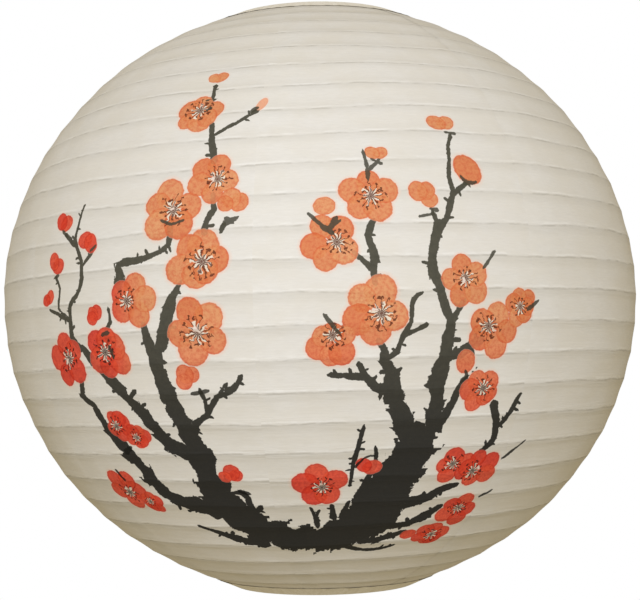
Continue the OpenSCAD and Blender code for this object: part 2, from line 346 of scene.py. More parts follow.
# Blossoms: azimuth, latitude, size in mm, turn in degrees, form
BLOSSOMS = [
    (-20.4, 38.4, 12, 90, "bud"), (-21.4, 30.2, 31, 30, "bowl"), (-9.9, 31.6, 11, 60, "tip"),
    (-16.8, 17.6, 30, 60, "open"), (-23.6, 12.4, 35, 20, "open"), (-13.3, 12.3, 19, 100, "fan"),
    (-18.6, 3.4, 37, 10, "bowl"), (-30, -2.4, 29, 75, "open"), (-19.2, -7.6, 36, 40, "open"),
    (-37.4, -4.9, 15, 130, "fan"), (-35.6, -10.3, 33, 150, "bowl"), (-46, -11.6, 31, 100, "open"),
    (-46.6, 11.7, 14, 80, "bud"), (-39.4, 8.6, 15, 250, "bud"), (-47.6, 4.6, 14, 60, "bud"),
    (-49.6, -1.2, 11, 120, "bud"), (-20.8, -15.8, 18, 130, "fan"), (-37.2, -23.2, 22, 140, "bowl"),
    (-33.8, -25.6, 19, 10, "bowl"), (-43.6, -36.2, 29, 130, "open"), (-38.4, -39.4, 18, 320, "bowl"),
    (-17.2, -33.8, 17, 90, "fan"),
    (9.5, 21, 12, 80, "bud"), (7.9, 13.8, 31, 90, "open"), (0.9, 12.1, 12, 0, "petal"),
    (1.6, 6.2, 31, 50, "open"), (22.3, 27.4, 15, 95, "bud"), (25.1, 18.8, 17, 115, "petal"),
    (16, 13.1, 21, 60, "fan"), (8, -4.8, 35, 60, "open"), (1.6, -9.8, 30, 200, "bowl"),
    (22.4, -0.1, 28, 105, "open"), (27.6, -8.1, 31, 70, "open"), (32.8, -4.2, 24, 50, "bowl"),
    (23.1, -13.2, 14, 90, "petal"), (26.6, -18.3, 27, 60, "bowl"), (-0.6, -35, 29, 20, "open"),
    (7.9, -31.9, 14, 80, "bud"), (25, -32, 25, 100, "open"), (30.3, -32.6, 26, 40, "open"),
    (29.9, -42, 26, 70, "open"), (26.6, -48.4, 24, 20, "bowl"), (20.4, -47.8, 10, 20, "petal"),
]


def spline(points, spacing):
    """A smooth line through the points, as rows of (azimuth, latitude, half width)."""
    p = np.array(points, float)
    ends = np.vstack([2 * p[0] - p[1], p, 2 * p[-1] - p[-2]])
    rows = [p[:1]]
    for a, b, c, d in zip(ends, ends[1:], ends[2:], ends[3:]):
        run = np.hypot(*(c - b)[:2]) * np.radians(BALL_R * MM)
        count = max(1, round(run / spacing))
        t = np.arange(1, count + 1)[:, None] / count
        rows.append(0.5 * (2 * b + (c - a) * t + (2 * a - 5 * b + 4 * c - d) * t ** 2
                           + (3 * b - a - 3 * c + d) * t ** 3))
    return np.vstack(rows)


def mm_per_degree(latitude):
    """Length of a degree of azimuth."""
    return np.radians(BALL_R * MM * np.cos(np.radians(latitude)))


def brush_strokes():
    """All strokes with their hand shake and side nubs: (rows, lies over the blossoms)."""
    rng = np.random.default_rng(21)
    up = 1 / np.radians(HALF_H * MM)
    strokes = []
    for group, over, spacing in ((TRUNK, False, 5), (BRANCHES, False, 4), (OVERLAYS, True, 3)):
        for points in group:
            line = spline(points, spacing)
            inner = slice(1, len(line) - 1)
            shake = rng.normal(size=(len(line), 3)) * np.array([0.09, 0.09, 0.1]) * line[:, 2:]
            line[inner, :2] += shake[inner, :2] * up
            line[:, 2] *= np.clip(1 + shake[:, 2] / line[:, 2] * 1.3, 0.7, 1.35)
            strokes.append((line, over))
            for i in range(1, len(line) - 1 if not over else 0):
                if rng.random() > NUB_CHANCE:
                    continue
                along = np.arctan2(line[i + 1, 1] - line[i, 1], line[i + 1, 0] - line[i, 0])
                side = rng.choice([-1, 1])
                angle = along + side * rng.uniform(0.8, 1.9)
                reach = line[i, 2] + rng.uniform(0.7, 2.6)
                tip = line[i, :2] + reach * up * np.array([np.cos(angle), np.sin(angle)])
                width = min(line[i, 2] * 0.5, rng.uniform(0.6, 1.3))
                nub = np.array([[*line[i, :2], width * 1.2], [*tip, width]])
                strokes.append((nub, False))
    return strokes


def blossom_petals():
    """Each petal as (azimuth, latitude, direction, half length, half width, seed), and the hearts."""
    rng = np.random.default_rng(8)
    petals, hearts = [], []
    # Each form's petals: turn from the blossom's own, then reach, half length and half width as
    # shares of its size
    forms = {
        "open": [(k * 72, 0.27, 0.235, 0.225) for k in range(5)],
        "bowl": [(0, 0.24, 0.23, 0.22), (62, 0.24, 0.22, 0.22), (118, 0.24, 0.22, 0.22),
                 (180, 0.25, 0.23, 0.2), (245, 0.17, 0.2, 0.23), (300, 0.17, 0.2, 0.22)],
        "fan": [(-52, 0.24, 0.26, 0.24), (0, 0.28, 0.28, 0.26), (50, 0.24, 0.26, 0.24)],
        "bud": [(-62, 0.2, 0.36, 0.3), (58, 0.2, 0.36, 0.3)],
        "tip": [(0, 0, 0.5, 0.26)],
        "petal": [(0, 0, 0.5, 0.42)],
    }
    for azimuth, latitude, size, turn, form in BLOSSOMS:
        seed = rng.uniform(0, 0.7) + (1 if form == "tip" else 0)
        for angle, reach, a, b in forms[form]:
            direction = np.radians(turn + angle + rng.uniform(-PETAL_TURN, PETAL_TURN))
            place = size * reach * rng.uniform(0.9, 1.12) * np.array([np.cos(direction), np.sin(direction)])
            scale = rng.uniform(0.88, 1.12)
            petals.append((azimuth + place[0] / mm_per_degree(latitude),
                           latitude + place[1] / np.radians(HALF_H * MM),
                           direction, a * size * scale, b * size * scale, seed + rng.uniform(0, 0.25)))
        if form in ("open", "bowl"):
            off = size * 0.07 * rng.normal(size=2)
            hearts.append((azimuth + off[0] / mm_per_degree(latitude), latitude + off[1] / mm_per_degree(0),
                           np.radians(turn), size / 2, seed))
    return petals, hearts


def in_plane(azimuth, latitude, at_azimuth, at_latitude):
    """Offsets in mm on the paper from one place."""
    x = (azimuth - at_azimuth) * mm_per_degree(at_latitude)
    return x, height_mm(latitude) - height_mm(at_latitude)


class Nearest:
    """Keeps, for each face, the few nearest marks that have different owners."""

    def __init__(self, faces, layers):
        self.score = np.full((layers, faces), np.inf)
        self.mark = np.full((layers, faces), -1)
        self.owner = np.full((layers, faces), -1)

    def offer(self, chosen, score, mark, owner):
        mark = np.full(len(chosen), mark)
        owner = np.full(len(chosen), owner)
        for layer in range(len(self.score)):
            held = (self.score[layer, chosen], self.mark[layer, chosen], self.owner[layer, chosen])
            better = score < held[0]
            same = held[2] == owner
            for store, new, old in zip((self.score, self.mark, self.owner), (score, mark, owner), held):
                store[layer, chosen] = np.where(better, new, old)
            passed = better & ~same
            score = np.where(passed, held[0], np.where(better | same, np.inf, score))
            mark = np.where(passed, held[1], mark)
            owner = np.where(passed, held[2], owner)


def paint(obj, azimuth, latitude, faces):
    """Writes where each face corner lies beside the nearest strokes, petals and hearts."""
    petals, hearts = BLOOM
    centre_az, centre_lat = azimuth[faces].mean(1), latitude[faces].mean(1)
    corner_az, corner_lat = azimuth[faces], latitude[faces]
    ink = Nearest(len(faces), 2)
    segments = []
    for owner, (line, over) in enumerate(STROKES):
        for i in range(len(line) - 1):
            a, b = line[i], line[i + 1]
            dx, dy = in_plane(b[0], b[1], a[0], a[1])
            size = float(np.hypot(dx, dy))
            ends = (i == 0, i == len(line) - 2)
            segments.append((a, dx / size, dy / size, size, b[2] - a[2], ends, float(over)))
            beside_it = np.abs(centre_az - a[0]) * mm_per_degree(a[1]) < STROKE_REACH
            level_with_it = np.abs(centre_lat - a[1]) * np.radians(HALF_H * MM) < STROKE_REACH
            chosen = np.flatnonzero(beside_it & level_with_it)
            if len(chosen):
                u, _, s = beside(segments[-1], centre_az[chosen], centre_lat[chosen])
                past = np.maximum(0, np.maximum(-s, s - size))
                thick = a[2] + (b[2] - a[2]) * np.clip(s / size, 0, 1)
                ink.offer(chosen, np.hypot(u, past) - thick, len(segments) - 1, owner)
    for layer, name in enumerate(("ink_a", "ink_b")):
        values = np.full(faces.shape + (3,), NO_INK)
        for mark in np.unique(ink.mark[layer][ink.mark[layer] >= 0]):
            chosen = ink.mark[layer] == mark
            segment = segments[mark]
            u, w, _ = beside(segment, corner_az[chosen], corner_lat[chosen])
            values[chosen] = np.stack([u, w, np.full(u.shape, segment[6])], -1)
        add_vectors(obj, name, values, "CORNER")
    bloom = Nearest(len(faces), 3)
    for index, petal in enumerate(petals):
        x, y = on_petal(petal, centre_az, centre_lat)
        q = np.hypot(x, y)
        chosen = np.flatnonzero(q < PETAL_REACH)
        bloom.offer(chosen, q[chosen], index, index)
    order = np.argsort(bloom.mark, axis=0)
    marks = np.take_along_axis(bloom.mark, order, axis=0)
    for layer, name in enumerate(("petal_a", "petal_b", "petal_c")):
        values = np.full(faces.shape + (3,), NO_PETAL)
        for mark in np.unique(marks[layer][marks[layer] >= 0]):
            chosen = marks[layer] == mark
            x, y = on_petal(petals[mark], corner_az[chosen], corner_lat[chosen])
            values[chosen] = np.stack([x, y, np.full(x.shape, petals[mark][5])], -1)
        add_vectors(obj, name, values, "CORNER")
    values = np.full(faces.shape + (3,), NO_PETAL)
    best = np.full(len(faces), 1.0)
    for azim, lat, turn, half, seed in hearts:
        petal = (azim, lat, turn, half, half, seed)
        q = np.hypot(*on_petal(petal, centre_az, centre_lat))
        chosen = q < best
        best[chosen] = q[chosen]
        x, y = on_petal(petal, corner_az[chosen], corner_lat[chosen])
        values[chosen] = np.stack([x, y, np.full(x.shape, seed)], -1)
    add_vectors(obj, "heart", values, "CORNER")


def beside(segment, azimuth, latitude):
    """Sideways offset, half width and length along a stroke's segment, in mm."""
    a, ux, uy, size, widen, (first, last), _ = segment
    x, y = in_plane(azimuth, latitude, a[0], a[1])
    s = x * ux + y * uy
    u = y * ux - x * uy
    w = a[2] + widen * np.clip(s / size, 0, 1)
    if first:
        w = w - CAP_SLOPE * np.maximum(0, -s - CAP_START * a[2])
    if last:
        w = w - CAP_SLOPE * np.maximum(0, s - size - CAP_START * a[2])
    return u, w, s


def on_petal(petal, azimuth, latitude):
    """Coordinates on a petal, as shares of its half length and half width."""
    x, y = in_plane(azimuth, latitude, petal[0], petal[1])
    c, s = np.cos(petal[2]), np.sin(petal[2])
    return (x * c + y * s) / petal[3], (y * c - x * s) / petal[4]


STROKES = brush_strokes()
BLOOM = blossom_petals()


# ---- Materials ----
def linear(red, green, blue):
    """A colour given as screen values from 0 to 255."""
    c = np.array([red, green, blue]) / 255
    return (*np.where(c <= 0.04045, c / 12.92, ((c + 0.055) / 1.055) ** 2.4).tolist(), 1.0)


class Shader:
    """A material's node tree, with short names for the nodes it needs."""

    def __init__(self, name):
        self.material = bpy.data.materials.new(name)
        self.material.use_nodes = True
        self.tree = self.material.node_tree
        self.tree.nodes.clear()
        self.output = self.tree.nodes.new("ShaderNodeOutputMaterial")

    def put(self, socket, value):
        if isinstance(value, bpy.types.NodeSocket):
            self.tree.links.new(value, socket)
        else:
            socket.default_value = value

    def node(self, kind, inputs=(), **settings):
        n = self.tree.nodes.new("ShaderNode" + kind)
        for key, value in settings.items():
            setattr(n, key, value)
        for key, value in dict(inputs).items():
            self.put(n.inputs[key], value)
        return n

    def math(self, operation, a, b=0.0, c=0.0):
        n = self.node("Math", operation=operation)
        for socket, value in zip(n.inputs, (a, b, c)):
            self.put(socket, value)
        return n.outputs[0]

    def step(self, value, low, high, start=0.0, end=1.0):
        """Goes smoothly from start to end as value goes from low to high."""
        ends = {"Value": value, "To Min": start, "To Max": end}
        n = self.node("MapRange", ends, interpolation_type="SMOOTHSTEP")
        self.put(n.inputs["From Min"], low)
        self.put(n.inputs["From Max"], high)
        return n.outputs["Result"]

    def mix(self, factor, a, b):
        n = self.node("Mix", data_type="RGBA", blend_type="MIX")
        self.put(n.inputs[0], factor)
        self.put(n.inputs[6], a)
        self.put(n.inputs[7], b)
        return n.outputs[2]

    def noise(self, vector, scale, detail=3.0, roughness=0.5, stretch=(1, 1, 1)):
        if stretch != (1, 1, 1):
            vector = self.node("Mapping", {"Vector": vector, "Scale": stretch}).outputs[0]
        inputs = {"Vector": vector, "Scale": scale, "Detail": detail, "Roughness": roughness}
        return self.node("TexNoise", inputs).outputs[0]

    def vector(self, name):
        return self.node("Attribute", attribute_name=name).outputs["Vector"]

    def parts(self, vector):
        return self.node("SeparateXYZ", {0: vector}).outputs

    def principled(self, **inputs):
        n = self.node("BsdfPrincipled")
        for key, value in inputs.items():
            self.put(n.inputs[key.replace("_", " ")], value)
        return n

    def finish(self, surface):
        self.put(self.output.inputs["Surface"], surface)
        return self.material


def paper_parts(g, sheet, band):
    """Plain paper's colour and height: fibres, cloudiness, and at each rib glue with painted shadow,
    highlight and shade.
    """
    fibre = g.noise(sheet, 1.0, 4.0, 0.6, (0.16, 1.1, 1))
    cloud = g.noise(sheet, 0.03, 3.0, 0.55, (1, 1.6, 1))
    crease = g.noise(sheet, 1.0, 3.0, 0.6, (0.018, 0.34, 1))
    phase = g.parts(band)[0]
    above = g.math("MULTIPLY", g.math("SUBTRACT", g.math("FRACT", g.math("ADD", phase, 0.5)), 0.5), 18.0)
    wobble = g.math("MULTIPLY", g.math("SUBTRACT", g.noise(sheet, 0.12, 2.0), 0.5), 1.2)
    above = g.math("ADD", above, wobble)
    away = g.math("ABSOLUTE", above)
    wire = g.step(away, 0.1, 0.9, 1.0, 0.0)
    shine = g.math("MULTIPLY", g.step(above, 0.5, 1.2), g.step(above, 1.2, 2.6, 1.0, 0.0))
    patchy = g.step(g.noise(sheet, 0.07, 3.0, 0.6, (1, 2.5, 1)), 0.4, 0.62, 0.12, 1.0)
    colour = g.mix(fibre, linear(222, 218, 210), linear(238, 235, 229))
    colour = g.mix(g.step(cloud, 0.3, 0.7, 0.0, 0.5), colour, linear(226, 220, 207))
    # Painted shadow: the darker line along each rib is the wire's shadow through the paper, together with its
    # glue
    colour = g.mix(g.math("MULTIPLY", wire, g.math("MULTIPLY", patchy, 0.34)), colour, linear(150, 143, 128))
    # Painted highlight: a paler line on the paper just above each rib
    colour = g.mix(g.math("MULTIPLY", shine, g.math("MULTIPLY", patchy, 0.5)), colour, linear(250, 248, 243))
    # Painted shade: a darker band on the paper just below each rib
    shade = g.math("MULTIPLY", g.step(above, -7.0, -0.2), g.step(above, -0.2, 0.3, 1.0, 0.0))
    colour = g.mix(g.math("MULTIPLY", shade, 0.16), colour, linear(176, 170, 156))
    near_rib = g.step(away, 0.5, 6.0, 1.0, 0.25)
    creased = g.math("MULTIPLY", g.math("MULTIPLY", crease, near_rib), 1.7)
    height = g.math("ADD", g.math("MULTIPLY", fibre, 0.10), creased)
    height = g.math("ADD", height, g.math("MULTIPLY", wire, 0.12))
    return colour, height


def petal_layer(g, name, ragged):
    """A petal's fill, rim and pale halo from its own coordinates, and its seed."""
    x, y, seed = g.parts(g.vector(name))
    q = g.math("SQRT", g.math("ADD", g.math("MULTIPLY", x, x), g.math("MULTIPLY", y, y)))
    q = g.math("ADD", q, ragged)
    fill = g.step(q, 0.97, 1.05, 1.0, 0.0)
    rim = g.math("MULTIPLY", fill, g.step(q, 0.78, 0.99))
    halo = g.step(q, 1.0, 1.3, 1.0, 0.0)
    return fill, rim, halo, seed


def blossom_colour(g, colour, sheet, low):
    """Washes the petals over a colour."""
    ragged = g.math("MULTIPLY", g.math("SUBTRACT", g.noise(sheet, 0.32, 3.0, 0.6), 0.5), 0.22)
    streak = g.noise(sheet, 0.55, 3.0, 0.65)
    covered = None
    layers = [petal_layer(g, name, ragged) for name in ("petal_a", "petal_b", "petal_c")]
    halo = g.math("MAXIMUM", g.math("MAXIMUM", layers[0][2], layers[1][2]), layers[2][2])
    colour = g.mix(g.math("MULTIPLY", halo, 0.55), colour, linear(240, 208, 190))
    for fill, rim, _, seed in layers:
        tone = g.math("FRACT", g.math("MULTIPLY", seed, 3.7))
        light = g.mix(tone, linear(222, 132, 80), linear(228, 162, 110))
        deep = g.mix(tone, linear(228, 66, 42), linear(238, 92, 60))
        wash = g.mix(low, light, deep)
        streaks = g.mix(low, linear(206, 84, 46), linear(186, 36, 26))
        wash = g.mix(g.step(streak, 0.35, 0.72, 0.0, 0.6), wash, streaks)
        dark_rim = g.mix(low, linear(214, 78, 42), linear(176, 30, 22))
        wash = g.mix(g.math("MULTIPLY", rim, 0.42), wash, dark_rim)
        wash = g.mix(g.step(seed, 1.0, 1.01, 0.0, 0.6), wash, linear(243, 190, 160))
        colour = g.mix(g.math("MULTIPLY", fill, 0.96), colour, wash)
        covered = fill if covered is None else g.math("MAXIMUM", covered, fill)
    return colour, covered


def heart_marks(g, sheet):
    """White filaments and dark stamens round a blossom's middle, as two masks."""
    x, y, seed = g.parts(g.vector("heart"))
    shift = g.math("MULTIPLY", g.math("SUBTRACT", g.noise(sheet, 0.5, 2.0), 0.5), 0.12)
    x = g.math("ADD", x, shift)
    radius = g.math("SQRT", g.math("ADD", g.math("MULTIPLY", x, x), g.math("MULTIPLY", y, y)))
    turn = g.math("DIVIDE", g.math("ARCTAN2", y, x), 2 * np.pi)
    bent = g.math("MULTIPLY", g.math("SUBTRACT", g.noise(sheet, 0.35, 2.0), 0.5), 0.16)
    turn = g.math("ADD", g.math("ADD", turn, bent), g.math("ADD", seed, 2.0))

    def rays(count, longest, width, dots):
        """Fine lines outwards of uneven length, with a dot at each end when dots is its radius."""
        place = g.math("MULTIPLY", turn, float(count))
        index = g.math("FLOOR", place)
        chance = g.node("TexWhiteNoise", {"W": g.math("ADD", g.math("MODULO", index, float(count)), seed)},
                        noise_dimensions="1D").outputs[0]
        reach = g.math("MULTIPLY_ADD", chance, longest * 0.5, longest * 0.5)
        across = g.math("SUBTRACT", g.math("FRACT", place), 0.5)
        side = g.math("ABSOLUTE", g.math("MULTIPLY", g.math("MULTIPLY", across, 2 * np.pi / count), radius))
        line = g.math("MULTIPLY", g.step(side, width * 0.5, width, 1.0, 0.0),
                      g.math("LESS_THAN", radius, reach))
        line = g.math("MULTIPLY", line, g.math("GREATER_THAN", radius, 0.06))
        if dots:
            gap = g.math("SUBTRACT", radius, reach)
            near = g.math("SQRT", g.math("ADD", g.math("MULTIPLY", gap, gap), g.math("MULTIPLY", side, side)))
            line = g.math("MAXIMUM", line, g.step(near, dots * 0.7, dots, 1.0, 0.0))
        return line

    middle = g.step(g.math("ADD", radius, shift), 0.1, 0.15, 1.0, 0.0)
    white = g.math("MAXIMUM", rays(9, 0.4, 0.05, 0), middle)
    dark = rays(13, 0.56, 0.026, 0.055)
    dark = g.math("MAXIMUM", dark, g.step(radius, 0.04, 0.07, 1.0, 0.0))
    return white, dark


def ink_masks(g, sheet):
    """Brush strokes under and over the blossoms."""
    fine = g.math("SUBTRACT", g.noise(sheet, 0.5, 3.0, 0.65), 0.5)
    coarse = g.math("SUBTRACT", g.noise(sheet, 0.13, 2.0, 0.5), 0.5)
    under, over = None, None
    for name in ("ink_a", "ink_b"):
        u, w, lies_over = g.parts(g.vector(name))
        side = g.math("ABSOLUTE", u)
        wide = g.math("MAXIMUM", w, 0.0)
        edge = g.math("MULTIPLY_ADD", fine, g.math("MULTIPLY_ADD", wide, 0.3, 0.9), w)
        edge = g.math("MULTIPLY_ADD", coarse, g.math("MULTIPLY", wide, 0.7), edge)
        mask = g.step(g.math("SUBTRACT", side, edge), -0.12, 0.22, 1.0, 0.0)
        above = g.math("MULTIPLY", mask, lies_over)
        below = g.math("MULTIPLY", mask, g.math("SUBTRACT", 1.0, lies_over))
        under = below if under is None else g.math("MAXIMUM", under, below)
        over = above if over is None else g.math("MAXIMUM", over, above)
    return under, over


def paper_material(name, printed):
    """The gores' thin paper, which lets light through, with or without the print."""
    g = Shader(name)
    sheet, band = g.vector("sheet_mm"), g.vector("band")
    colour, height = paper_parts(g, sheet, band)
    if printed:
        aside, up, _ = g.parts(sheet)
        low = g.math("MAXIMUM", g.step(up, *LOW_UP), g.step(aside, *LOW_ASIDE, 1.0, 0.0))
        colour, covered = blossom_colour(g, colour, sheet, low)
        white, dark = heart_marks(g, sheet)
        under, over = ink_masks(g, sheet)
        brush = g.noise(sheet, 0.35, 4.0, 0.7)
        # Painted light: the ink is a lighter grey towards the top, where the key light falls, and black lower
        # down
        painted_lit_ink = g.mix(brush, linear(52, 51, 40), linear(88, 85, 70))
        black_ink = g.mix(brush, linear(6, 6, 4), linear(26, 25, 20))
        ink = g.mix(g.step(up, *INK_UP), painted_lit_ink, black_ink)
        colour = g.mix(g.math("MULTIPLY", under, g.math("MULTIPLY_ADD", covered, -0.8, 0.97)), colour, ink)
        white = g.math("MULTIPLY", white, g.math("MULTIPLY", covered, 0.9))
        colour = g.mix(white, colour, linear(238, 232, 214))
        stamen = g.mix(low, linear(96, 44, 24), linear(52, 20, 16))
        colour = g.mix(g.math("MULTIPLY", dark, g.math("MULTIPLY", covered, 0.9)), colour, stamen)
        colour = g.mix(g.math("MULTIPLY", over, 0.93), colour, ink)
    bump = g.node("Bump", {"Height": height, "Strength": 0.5, "Distance": 0.0006})
    front = g.principled(Base_Color=colour, Roughness=PAPER_ROUGHNESS, Normal=bump.outputs[0])
    front.inputs["Specular IOR Level"].default_value = PAPER_SPECULAR
    through = g.node("BsdfTranslucent", {"Color": colour, "Normal": bump.outputs[0]})
    both = g.node("MixShader", {0: TRANSLUCENCY, 1: front.outputs[0], 2: through.outputs[0]})
    return g.finish(both.outputs[0])


def hem_material():
    """The hem strip's thicker paper, creased across, with painted shade along its folds."""
    g = Shader("hem_paper")
    sheet = g.vector("sheet_mm")
    fibre = g.noise(sheet, 0.9, 4.0, 0.6)
    fold = g.noise(sheet, 0.5, 3.0, 0.6, (1, 0.2, 1))
    colour = g.mix(fibre, linear(220, 214, 201), linear(238, 234, 225))
    # Painted shade: the paper is darker along its folds
    colour = g.mix(g.step(fold, 0.4, 0.7, 0.0, 0.4), colour, linear(205, 196, 176))
    height = g.math("ADD", g.math("MULTIPLY", fibre, 0.3), fold)
    bump = g.node("Bump", {"Height": height, "Strength": 0.7, "Distance": 0.0008})
    shade = g.principled(Base_Color=colour, Roughness=0.85, Normal=bump.outputs[0])
    shade.inputs["Specular IOR Level"].default_value = PAPER_SPECULAR
    return g.finish(shade.outputs[0])


def wire_material(name, light, dark, roughness, coordinate="Object"):
    """Drawn steel wire with a dull zinc skin, spangled and lightly scratched."""
    g = Shader(name)
    if coordinate == "Object":
        place = g.node("TexCoord").outputs["Object"]
    else:
        place = g.node("VectorMath", {0: g.vector(coordinate), 1: (0.001, 0.001, 0.001)},
                       operation="MULTIPLY").outputs[0]
    spangle = g.node("TexVoronoi", {"Vector": place, "Scale": 420.0}).outputs["Color"]
    spangle = g.parts(spangle)[0]
    stain = g.noise(place, 60.0, 4.0, 0.6)
    scratch = g.noise(place, 2400.0, 2.0, 0.6)
    colour = g.mix(spangle, linear(*light), linear(*dark))
    colour = g.mix(g.step(stain, 0.5, 0.75, 0.0, 0.6), colour, linear(*(0.72 * np.array(dark))))
    rough = g.math("MULTIPLY_ADD", g.math("ADD", stain, scratch), 0.18, roughness)
    bump = g.node("Bump", {"Height": scratch, "Strength": 0.25, "Distance": 0.0001})
    shade = g.principled(Base_Color=colour, Metallic=1.0, Roughness=rough, Normal=bump.outputs[0])
    return g.finish(shade.outputs[0])


def assign(obj, material):
    """Puts one material in all of an object's slots."""
    if not obj.data.materials:
        obj.data.materials.append(material)
    for i in range(len(obj.data.materials)):
        obj.data.materials[i] = material


# ---- Pieces ----
def fold_with_shade(piece):
    """The paper, its spiral and the hems' flaps ride the frame body, each with a mesh of its own."""
    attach(piece, "frame")
    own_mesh(piece)


def gore_sheet(index, material, slot):
    """One pasted strip of paper, from ring to ring, lapped onto its neighbours."""
    start = FIRST_SEAM + GORE_TURN * index - (360 if index > 5 else 0)
    columns = int(np.radians(GORE_TURN + LAP) * BALL_R / CELL) + 1
    rows = int((MERIDIAN_S[-1] - MERIDIAN_S[0]) / CELL) + 1
    across = np.linspace(start - LAP / 2, start + GORE_TURN + LAP / 2, columns)
    up = np.interp(np.linspace(MERIDIAN_S[0], MERIDIAN_S[-1], rows), MERIDIAN_S, MERIDIAN_LAT)
    azimuth, latitude = (a.ravel() for a in np.meshgrid(across, up))
    base = ball_points(azimuth, latitude, 0)
    phase = rib_phase(azimuth, latitude)
    mid = 1 - np.abs(2 * (phase % 1) - 1)
    ends = np.clip((HEM_END_LAT - np.abs(latitude)) / FLAT_RUN_IN, 0, 1)
    depth = PAPER_DEPTH + SAG * ends * (1 - (1 - mid) ** SAG_ROUNDNESS)
    (broad, broad_length), (small, small_length) = BROAD_WAVES, SMALL_WAVES
    uneven = broad * ends * wave_sum(base, broad_length, 11)
    depth += uneven + small * ends * mid * wave_sum(base, small_length, 12)
    left = np.clip((start + LAP / 2 + LAP_FADE - azimuth) / LAP_FADE, 0, 1)
    right = np.clip((azimuth - start - GORE_TURN + LAP / 2 + LAP_FADE) / LAP_FADE, 0, 1)
    depth += LAP_LIFT * (right - left)
    faces = grid_faces(rows, columns)
    points = ball_points(azimuth, latitude, np.clip(depth, 0.0, DEEPEST))
    piece = new_mesh(f"gore_sheet_{index + 1}", points, faces)
    flat_x = np.radians(azimuth - start - GORE_TURN / 2) * BALL_R * np.cos(np.radians(latitude))
    flat_y = np.interp(latitude, MERIDIAN_LAT, MERIDIAN_S)
    own_noise = np.full(len(azimuth), 37.0 * index)
    sheet = np.stack([np.radians(azimuth) * BALL_R * MM, flat_y * MM, own_noise], -1)
    add_vectors(piece, "sheet_mm", sheet)
    add_vectors(piece, "band", np.stack([phase, left, right], -1))
    width, length = np.radians(GORE_TURN + LAP) * BALL_R, MERIDIAN_S[-1] - MERIDIAN_S[0]
    bake = np.stack([0.5 + UV_SHARE * flat_x / width, 0.5 + UV_SHARE * flat_y / length], -1)
    layer = piece.data.uv_layers.new(name="OFBake")
    layer.data.foreach_set("uv", bake[faces].astype(np.float32).ravel())
    if slot == "printed_paper":
        paint(piece, azimuth, latitude, faces)
    assign(piece, material)
    fold_with_shade(piece)
    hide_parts(f"paper_gore_{index + 1}")
    return piece


def hem_section():
    """The hem strip's section at the top ring: its wrap round the wire, then its flap on the ball."""
    ring_lat = np.degrees(np.arccos(RING_R / BALL_R))
    t = np.radians(ring_lat)
    facing = np.degrees(np.arctan2(np.sin(t) / HALF_H, np.cos(t) / BALL_R))
    wrap = np.radians(np.linspace(HEM_WRAP_FROM, facing + HEM_WRAP_PAST, WRAP_POINTS))
    on_wire = np.stack([RING_R + HEM_R * np.cos(wrap), HEM_R * np.sin(wrap)], -1)
    lat = np.linspace(ring_lat - HEM_LEAVES, HEM_END_LAT, FLAP_POINTS)
    share = (lat - HEM_END_LAT) / (ring_lat - HEM_END_LAT)
    lift = HEM_LIFT + (HEM_R - HEM_LIFT) * np.abs(share) ** HEM_LIFT_FADE
    laid = ball_points(np.full(len(lat), 90.0), lat, -lift)
    on_ball = np.stack([laid[:, 0], laid[:, 2] - TOP_Z], -1)
    return on_wire, np.vstack([on_wire[-1:], on_ball])


def hem_strip(name, section, loose, up, node):
    """A band of the crinkled paper strip round a ring, open where its sleeve sits, and its flat size."""
    ring_z = TOP_Z if up > 0 else BASE_Z
    gap = np.degrees(HEM_OPENING / RING_R) / 2
    azimuth = np.linspace(180 + gap, 540 - gap, HEM_COLUMNS)
    a = np.radians(azimuth)[:, None]
    r, z = section[:, 0][None, :], section[:, 1][None, :]
    height = np.broadcast_to(ring_z + up * z, (len(azimuth), len(section)))
    points = np.stack([r * np.sin(a), -r * np.cos(a), height], -1).reshape(-1, 3)
    arc = np.repeat(np.radians(azimuth), len(section)) * RING_R
    level = np.zeros(len(points))
    bumps = 1 + wave_sum(np.stack([arc, level, level], -1), CRINKLE_LENGTH, 31 + (up > 0))
    looseness = np.tile(np.linspace(*loose, len(section)), len(azimuth))
    crinkle = np.clip(CRINKLE * looseness * bumps, 0, CRINKLE_MOST)
    side = np.repeat(a[:, 0], len(section))
    push = np.full(len(points), up * CRINKLE_UP)
    outward = np.stack([np.sin(side) * CRINKLE_OUT, -np.cos(side) * CRINKLE_OUT, push], -1)
    faces = grid_faces(len(azimuth), len(section))
    piece = new_mesh(name, points + crinkle[:, None] * outward, faces)
    steps = np.hypot(*np.diff(section, axis=0).T)
    along = np.tile(np.concatenate([[0], np.cumsum(steps)]), len(azimuth))
    add_vectors(piece, "sheet_mm", np.stack([arc * MM, along * MM, np.full(len(points), 7.0)], -1))
    assign(piece, HEM_PAPER)
    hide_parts(node)
    middle_r = np.sum((section[1:, 0] + section[:-1, 0]) / 2 * steps) / steps.sum()
    return piece, (float(steps.sum()), float(np.radians(360 - 2 * gap) * middle_r))


def hems():
    """Each ring's hem: a wrap that stays on the ring, and a flap on the ball that rides the frame."""
    wrap, flap = hem_section()
    for ring, up, body in (("top", 1, "frame"), ("bottom", -1, "base")):
        edge, _ = hem_strip(ring + "_hem_wrap", wrap, (0.6, 0.1), up, ring + "_binding")
        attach(edge, body)
        sheet, flat = hem_strip(ring + "_hem_flap", flap, (0.1, 1.0), up, ring + "_binding")
        fold_with_shade(sheet)


